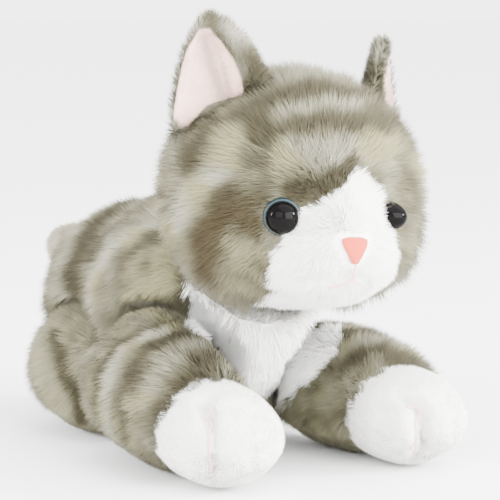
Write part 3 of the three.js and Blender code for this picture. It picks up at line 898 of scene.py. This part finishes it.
def lathe(name, centre, axis, profile, around=64):
    """Turns (radius, height) points about the axis; a radius of 0 closes the end."""
    a = np.array(axis, float)
    x = unit(np.cross(a, [0, 0, 1.0]))
    y = np.cross(a, x)
    verts, faces = [], []
    rings = []
    for r, h in profile:
        if r == 0:
            rings.append([len(verts)])
            verts.append(centre + a * h)
        else:
            ring = []
            for i in range(around):
                t = 2 * np.pi * i / around
                ring.append(len(verts))
                verts.append(centre + a * h + r * (x * np.cos(t) + y * np.sin(t)))
            rings.append(ring)
    for lo, hi in zip(rings, rings[1:] + rings[:1]):
        n = max(len(lo), len(hi))
        if n == 1:
            continue
        for i in range(n):
            j = (i + 1) % n
            if len(lo) == 1:
                faces.append((lo[0], hi[j], hi[i]))
            elif len(hi) == 1:
                faces.append((lo[i], lo[j], hi[0]))
            else:
                faces += [(lo[i], lo[j], hi[j]), (lo[i], hi[j], hi[i])]
    o = mesh_of(name, verts, faces)
    bm = bmesh.new()
    bm.from_mesh(o.data)
    bmesh.ops.recalc_face_normals(bm, faces=bm.faces)
    bm.to_mesh(o.data)
    bm.free()
    return o


def plain(name, colour, rough, coat=0.0, spread=0.15, scale=60.0, bump=0.0, sheen=0.0, fine=None, gloss=0.4):
    """One colour with a procedural variation."""
    m, t, b = principled(name)
    where = t.nodes.new("ShaderNodeTexCoord")
    noise = t.nodes.new("ShaderNodeTexNoise")
    noise.inputs["Scale"].default_value = scale
    noise.inputs["Detail"].default_value = 4
    t.links.new(where.outputs["Object"], noise.inputs["Vector"])
    mix = t.nodes.new("ShaderNodeMix")
    mix.data_type = "RGBA"
    mix.inputs["A"].default_value = (*(np.array(colour) * (1 - spread)), 1)
    mix.inputs["B"].default_value = (*np.clip(np.array(colour) * (1 + spread), 0, 1), 1)
    t.links.new(noise.outputs["Fac"], mix.inputs["Factor"])
    t.links.new(mix.outputs["Result"], b.inputs["Base Color"])
    if bump:
        k = t.nodes.new("ShaderNodeBump")
        k.inputs["Strength"].default_value = bump
        k.inputs["Distance"].default_value = 0.0004
        grain = t.nodes.new("ShaderNodeTexNoise")
        grain.inputs["Scale"].default_value = fine or scale * 6
        t.links.new(where.outputs["Object"], grain.inputs["Vector"])
        t.links.new(grain.outputs["Fac"], k.inputs["Height"])
        t.links.new(k.outputs["Normal"], b.inputs["Normal"])
    b.inputs["Roughness"].default_value = rough
    b.inputs["Coat Weight"].default_value = coat
    b.inputs["Specular IOR Level"].default_value = gloss
    b.inputs["Coat Roughness"].default_value = 0.02
    b.inputs["Sheen Weight"].default_value = sheen
    return m


PUPIL = plain("eye_black", srgb(7, 6, 6), 0.05, spread=0.4, scale=90, gloss=0.04)
IRIS = plain("iris_teal", srgb(1, 27, 33), 0.4, coat=0.0, spread=0.35, scale=350)
BACK = plain("washer_plastic", srgb(60, 60, 62), 0.5, spread=0.2, scale=200, bump=0.2)
FLOCK = plain("nose_flock", srgb(180, 60, 34), 0.85, spread=0.07, scale=500, bump=0.5, sheen=0.4, fine=2600)
THREAD = plain(
    "pink_thread", srgb(232, 158, 176), 0.6, spread=0.12, scale=1500, bump=0.5, sheen=0.2, fine=4000
)

EYES = {}
for side in ("right", "left"):
    centre = middle("eye_rim_" + side)
    axis = unit(centre - middle("eye_washer_" + side))
    p = (coords(NODES["eye_rim_" + side].data) - centre) @ axis
    low = centre + axis * p.min()
    if side == "left":  # this eye looks outwards and sits deeper in the pile
        axis = unit(axis + 0.5 * np.cross(np.array([0, 0, 1.0]), axis))
        low = low - axis * 4.2 + np.array([-2.2, 1.3, 0])
    else:
        axis = unit(axis + np.array([0, 0, 0.10]))
        low = low + np.array([-0.5, 0.3, -2.2])
    EYES[side] = (low, axis)
    depth = p.max() - p.min()
    rim = lathe(
        "eye_ring_" + side,
        low,
        axis,
        [
            (5.2, 0.0), (7.2, 0.0), (7.6, 0.3), (7.65, depth * 0.5), (7.3, depth * 0.8),
            (6.6, depth * 0.9), (5.2, depth * 0.8),
        ],
    )
    rim.data.materials.append(IRIS)
    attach(rim, "head")
    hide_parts("eye_rim_" + side)
    top = (coords(NODES["eye_dome_" + side].data) - low) @ axis
    high = top.max()
    foot = depth - 0.9
    arc = [
        (6.15 * np.cos(t), foot + 0.35 + (high - foot - 0.35) * np.sin(t))
        for t in np.linspace(0.0, np.pi / 2, 22)[:-1]
    ]
    dome = lathe("eye_" + side, low, axis, [(0, foot), (6.0, foot), *arc, (0, high)])
    dome.data.materials.append(PUPIL)
    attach(dome, "head")
    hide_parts("eye_dome_" + side)
    NODES["eye_washer_" + side].data.materials.clear()
    NODES["eye_washer_" + side].data.materials.append(BACK)


def carried(node, material, voxel, smooth_steps, body, name):
    """A smoothed copy of a small CAD node."""
    me = NODES[node].data.copy()
    o = bpy.data.objects.new(name, me)
    bpy.context.scene.collection.objects.link(o)
    bm = bmesh.new()
    bm.from_mesh(me)
    bmesh.ops.remove_doubles(bm, verts=bm.verts, dist=1e-5)
    bm.to_mesh(me)
    bm.free()
    m = o.modifiers.new("remesh", "REMESH")
    m.mode, m.voxel_size, m.use_smooth_shade = "VOXEL", voxel / 1000, True
    s = o.modifiers.new("soft", "SMOOTH")
    s.factor, s.iterations = 0.5, smooth_steps
    evaluated(o)
    o.data.materials.clear()
    o.data.materials.append(material)
    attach(o, body)
    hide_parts(node)
    return o


NOSE = carried("nose", FLOCK, 0.45, 6, "head", "nose_pad")
p = coords(NOSE.data)
mid = p.mean(0)
p = mid + (p - mid) * 0.92 - np.array([0, 0, 0.9])
# the nose is set into the pile: its back touches the skin
head_bvh = bvh_of(SKIN["head"])
hits = [head_bvh.find_nearest(v) for v in p]
out = unit(np.mean([h[1] for h in hits], axis=0))
gap = np.array([(Vector(v) - h[0]).dot(h[1]) for v, h in zip(p, hits)])
set_coords(NOSE.data, p - out * (gap.min() + 0.3))


def thread(name, node, body, paths, radius, lift):
    """Stitches as thin tubes laid on a cover along these paths."""
    bvh = bvh_of(SKIN[body])
    verts, faces = [], []
    for path in paths:
        q = np.array(path, float)
        t = np.concatenate([[0], np.cumsum(np.linalg.norm(np.diff(q, axis=0), axis=1))])
        at = np.linspace(0, t[-1], max(4, int(t[-1] / 0.8)))
        line = np.stack([np.interp(at, t, q[:, i]) for i in range(3)], 1)
        hits = [bvh.find_nearest(v) for v in line]
        no = np.array([h[1] for h in hits])
        line = np.array([h[0] for h in hits])
        for _ in range(10):
            no = unit(np.concatenate([no[:1], no[1:-1] * 0.5 + (no[:-2] + no[2:]) * 0.25, no[-1:]]))
            line[1:-1] = line[1:-1] * 0.5 + (line[:-2] + line[2:]) * 0.25
        line = line + no * lift
        along = unit(np.gradient(line, axis=0))
        side = unit(np.cross(along, no))
        up = np.cross(side, along)
        n0, rings = len(verts), 8
        for c, x, y in zip(line, side, up):
            verts += [
                c + radius * (x * np.cos(a) + y * np.sin(a)) for a in np.arange(rings) * 2 * np.pi / rings
            ]
        for i in range(len(line) - 1):
            for j in range(rings):
                a, b = n0 + i * rings + j, n0 + i * rings + (j + 1) % rings
                faces += [(a, b, b + rings), (a, b + rings, a + rings)]
        last = n0 + (len(line) - 1) * rings
        faces += [(n0, n0 + j + 1, n0 + j) for j in range(1, rings - 1)] + [
            (last, last + j, last + j + 1) for j in range(1, rings - 1)
        ]
    o = mesh_of(name, verts, faces)
    bm = bmesh.new()
    bm.from_mesh(o.data)
    bmesh.ops.recalc_face_normals(bm, faces=bm.faces)
    bm.to_mesh(o.data)
    bm.free()
    o.data.materials.append(THREAD)
    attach(o, body)
    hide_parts(node)
    return o


MOUTH = [
    [(-4.7, -122, 88), (-4.6, -121.5, 84), (-4.6, -120, 80.5)],
    [(-4.6, -120, 80.5), (-6.5, -118, 79.3), (-9.5, -115.5, 78), (-12.5, -113, 77)],
    [(-4.6, -120, 80.5), (-2, -119, 79.5), (1.5, -116.5, 78)],
]
thread("mouth_thread", "mouth_stitch", "head", MOUTH, 0.38, 2.3)
PAW_LINE = {
    "right": [
        (-54.5, -95, 35), (-56.5, -100, 31.5), (-59, -105.5, 26), (-59, -106, 20),
        (-58.5, -106, 16), (-56.5, -103.5, 11), (-53, -99, 6),
    ],
    "left": [
        (31.5, -101.5, 31), (34, -104, 29.5), (35, -106.5, 26), (34.5, -108, 19), (35.5, -106, 11),
        (38, -102, 5),
    ],
}
for side in ("right", "left"):
    thread("toe_thread_" + side, "toe_stitch_" + side, "front_leg_" + side, [PAW_LINE[side]], 0.3, 0.9)

# ---------------------------------------------------------------- pile on each skin

eye_points = [c + a * 1.0 for c, a in EYES.values()]
nose_tree = bvh_of(NOSE)


def from_eyes(p):
    return np.min([np.linalg.norm(p - c, axis=1) for c in eye_points], axis=0)


def head_flow(p, no):
    h = in_head(p)
    away = unit(h - np.array([1.0, -62.0, -8.0]))
    eye = sum(
        unit(p - c) * np.exp(-(((np.linalg.norm(p - c, axis=1) - 6) / 5) ** 2))[:, None] for c in eye_points
    )
    return unit(away + np.array([0, 0.1, -0.35]) * smooth(h[:, 2], 25, -10)[:, None] + eye * 1.5)


def head_length(p, no):
    h = in_head(p)
    face = smooth(inside_outline(h[:, [0, 2]], FACE), -12, -1) * (h[:, 1] < -20)
    close = smooth(from_eyes(p), 7, 15)
    return (9.5 - 4.5 * face) * (0.35 + 0.65 * close)


def white_length(p, no):
    d = np.minimum(distances(p, nose_tree, 12.0), np.min([to_line(p, m) for m in MOUTH], axis=0) - 2.6)
    return 4.4 * (0.2 + 0.8 * smooth(d, 1.0, 6.5)) * (0.4 + 0.6 * smooth(from_eyes(p), 7, 12))


def back_down(p, no):
    return np.repeat(unit(np.array([0.0, 0.85, -0.55]))[None], len(p), 0)


def outward_back(p, no):
    return unit(np.stack([np.sign(p[:, 0]) * 0.75, np.full(len(p), 0.55), np.full(len(p), -0.3)], 1))


def down(p, no):
    return np.repeat(unit(np.array([0.0, 0.35, -0.9]))[None], len(p), 0)


def arm_length(p, no):
    top = smooth(p[:, 2], 44, 54) * smooth(p[:, 1], -62, -48)
    inner = smooth(34 - np.abs(p[:, 0]), -4, 6) * smooth(p[:, 2], 20, 34)
    return (2.0 + 6.0 * smooth(no[:, 2], -0.75, -0.1)) * (1 - 0.6 * np.maximum(top, inner))


def paw_gap(p):
    return np.minimum(to_line(p, PAW_LINE["right"]), to_line(p, PAW_LINE["left"]))


def paw_length(p, no):
    return (1.4 + 1.0 * smooth(no[:, 2], -0.75, -0.1)) * (0.35 + 0.65 * smooth(paw_gap(p), 1.5, 6))


def paw_colour(p):
    # the white is painted up to 16% darker along the toe line: painted shade in the cleft between the toes
    return white_colour(p) * (1 - 0.16 * np.exp(-((paw_gap(p) / 2.0) ** 2)))[:, None]


def up_back(p, no):
    return np.repeat(unit(np.array([0.0, 0.6, 0.8]))[None], len(p), 0)


def short_under(full, low):
    """Full length on top, low on the surface that the toy lies on."""
    return lambda p, no: low + (full - low) * smooth(no[:, 2], -0.75, -0.1)


def eyes_clear(p):
    return smooth(from_eyes(p), 7.8, 9.0)


h_all = POINTS["head"]
clear = eyes_clear(h_all) * smooth(distances(h_all, nose_tree, 12.0), 1.2, 2.6)
hs = SHARE["head"]
LONG = dict(width=0.21, lean=0.7, tuft=0.12, stray=0.11)


def white(name, body, share, density, length, comb, colour=white_colour, **kw):
    """White pile on a body's cover."""
    k = {"tuft": 0.12, **WHITE_PILE, **kw}
    return pile(name, SKIN[body], share, density, length, colour, comb, body, SNOW, "white_plush", **k)


def coat(name, skin, share, length, colour, comb, seed, **kw):
    """A tabby coat: a short dense ground and longer guard strands over it, as two pieces."""
    k = {**LONG, **kw}
    # ground strands are painted from 0.86 at the root to 1.0 at the tip, guard strands from 0.76 to 1.07:
    # painted shade deep in the pile and painted light on the tips
    ground = {**k, "joints": 1, "width": k["width"] * 1.3, "seed": seed, "dark": 0.86, "light": 1.0}
    guard = {**k, "seed": seed + 50, "dark": 0.76, "light": 1.07}
    rest = (colour, comb, skin, TABBY, "tabby_plush")
    pile(name + "_ground", SKIN[skin], share, 5.2, lambda p, no: length(p, no) * 0.62, *rest, **ground)
    pile(name, SKIN[skin], share, 3.3, length, *rest, **guard)


WHITE_PILE = dict(width=0.27, dark=0.95, light=1.0)
coat("head_pile", "head", (1 - hs) * clear * HIDDEN["head"], head_length, head_colour, head_flow, 2)
white("face_pile", "head", hs * clear * HIDDEN["head"], 9.0, white_length, head_flow, lean=1.0, seed=3)
ns = SHARE["neck"]
pile(
    "neck_pile",
    SKIN["neck"],
    1 - ns,
    4.0,
    even(5.0),
    torso_colour,
    back_down,
    "neck",
    TABBY,
    "tabby_plush",
    width=0.25,
    lean=0.6,
    tuft=0.12,
    seed=30,
    dark=0.8,
)
white("neck_bib_pile", "neck", ns, 6.0, even(5.5), down, lean=0.6, seed=31)
ts = SHARE["torso"]
coat("torso_pile", "torso", (1 - ts) * HIDDEN["torso"], short_under(8.5, 3.0), torso_colour, back_down, 4)
white("bib_pile", "torso", ts * HIDDEN["torso"], 7.0, short_under(6.0, 2.5), down, lean=0.95, seed=5)
for i, side in enumerate(("right", "left")):
    b = "front_leg_" + side
    s = SHARE[b]
    k = "shoulder_" + side
    white("shoulder_pile_" + side, k, SHARE[k] * HIDDEN[k], 6.0, even(6.0), down, lean=0.8, seed=40 + i)
    tabby = (1 - s) * (1 - BIB[b]) * HIDDEN[b]
    coat("arm_pile_" + side, b, tabby, arm_length, arm_colour, outward_back, 6 + i, depth=0.0)
    white(
        "chest_pile_" + side,
        b,
        BIB[b] * HIDDEN[b],
        7.0,
        short_under(5.0, 2.5),
        down,
        lean=0.95,
        seed=20 + i,
    )
    short = dict(lean=1.1, joints=1, tuft=0.10, stray=0.08)
    white("paw_pile_" + side, b, s * HIDDEN[b], 12.0, paw_length, up_back, paw_colour, seed=8 + i, **short)
    b = "hind_leg_" + side
    s = SHARE[b]
    coat("haunch_pile_" + side, b, (1 - s) * HIDDEN[b], short_under(8.0, 2.0), hind_colour, back_down, 10 + i)
    low = short_under(2.4, 1.4)
    white("hind_paw_pile_" + side, b, s * HIDDEN[b], 6.0, low, down, lean=0.6, joints=1, seed=12 + i)
    b = "ear_" + side
    s = SHARE[b]
    root_at = POINTS[b][np.argsort(POINTS[b][:, 2])[:200]].mean(0)

    def ear_up(p, no, at=root_at):
        return unit(p - at)

    pile(
        "ear_back_pile_" + side,
        SKIN[b],
        (1 - s) * HIDDEN[b],
        8.0,
        even(4.4),
        ear_colour,
        ear_up,
        b,
        TABBY,
        "tabby_plush",
        width=0.22,
        lean=0.75,
        tuft=0.10,
        seed=14 + i,
    )
    pile(
        "ear_lining_pile_" + side,
        SKIN[b],
        s * HIDDEN[b],
        8.0,
        even(1.3),
        pink_colour,
        ear_up,
        b,
        LINING,
        "ear_lining",
        width=0.24,
        lean=0.7,
        joints=1,
        tuft=0.12,
        seed=16 + i,
        dark=0.93,
        light=1.0,
    )
coat("tail_pile", "tail", HIDDEN["tail"], even(4.5), tail_colour, back_down, 18)

# ---------------------------------------------------------------- floor, light, camera


def quad(name, corners, material):
    o = mesh_of(name, corners, [(0, 1, 2, 3)], False)
    o.data.materials.append(material)
    return o


m, t, b = principled("floor_paper")
b.inputs["Base Color"].default_value = (0.93, 0.93, 0.93, 1)
b.inputs["Roughness"].default_value = 0.9
b.inputs["Specular IOR Level"].default_value = 0.1
quad("floor", [(-60000, -60000, 0), (60000, -60000, 0), (60000, 60000, 0), (-60000, 60000, 0)], m)

world = bpy.data.worlds.new("studio")
bpy.context.scene.world = world
world.use_nodes = True
tree_w = world.node_tree
where = tree_w.nodes.new("ShaderNodeTexCoord")
parts = tree_w.nodes.new("ShaderNodeSeparateXYZ")
span = tree_w.nodes.new("ShaderNodeMapRange")
span.interpolation_type = "SMOOTHSTEP"
span.inputs["From Min"].default_value, span.inputs["From Max"].default_value = 0.02, 0.3
span.inputs["To Min"].default_value, span.inputs["To Max"].default_value = 4.6, 3.0
tree_w.links.new(where.outputs["Generated"], parts.inputs[0])
tree_w.links.new(parts.outputs["Z"], span.inputs["Value"])
tree_w.links.new(span.outputs["Result"], tree_w.nodes["Background"].inputs["Strength"])
tree_w.nodes["Background"].inputs["Color"].default_value = (1, 1, 1, 1)


def lamp(name, place, target, w, h, power, colour=(1, 1, 1)):
    d = bpy.data.lights.new(name, "AREA")
    d.shape, d.size, d.size_y, d.energy, d.color = "RECTANGLE", w, h, power, colour
    o = bpy.data.objects.new(name, d)
    bpy.context.scene.collection.objects.link(o)
    o.location = place
    o.rotation_mode = "QUATERNION"
    o.rotation_quaternion = (Vector(target) - Vector(place)).to_track_quat("-Z", "Y")
    return o


MID = (0.0, -0.03, 0.08)
lamp("window_right", (1.15, -0.95, 0.62), MID, 0.24, 0.26, 60)
lamp("soft_right", (0.5, -2.2, 0.7), MID, 2.0, 1.4, 210)
lamp("window_left", (-1.25, 0.3, 0.55), MID, 0.1, 0.36, 24)
lamp("soft_left", (-1.6, -1.4, 0.9), MID, 1.6, 1.2, 60)
sun = bpy.data.lights.new("overhead", "SUN")
sun.energy, sun.angle = 6.0, 1.4
o = bpy.data.objects.new("overhead", sun)
bpy.context.scene.collection.objects.link(o)
o.rotation_euler = (0.35, 0.25, 0.0)

cam = bpy.data.cameras.new("camera")
cam.lens, cam.sensor_width, cam.clip_start, cam.clip_end = 162, 36, 0.05, 20
eye = bpy.data.objects.new("camera", cam)
bpy.context.scene.collection.objects.link(eye)
eye.location = (-0.454, -0.8194, 0.185)
eye.rotation_mode = "QUATERNION"
eye.rotation_quaternion = (Vector((-0.004, -0.04, 0.085)) - Vector(eye.location)).to_track_quat("-Z", "Y")
bpy.context.scene.camera = eye
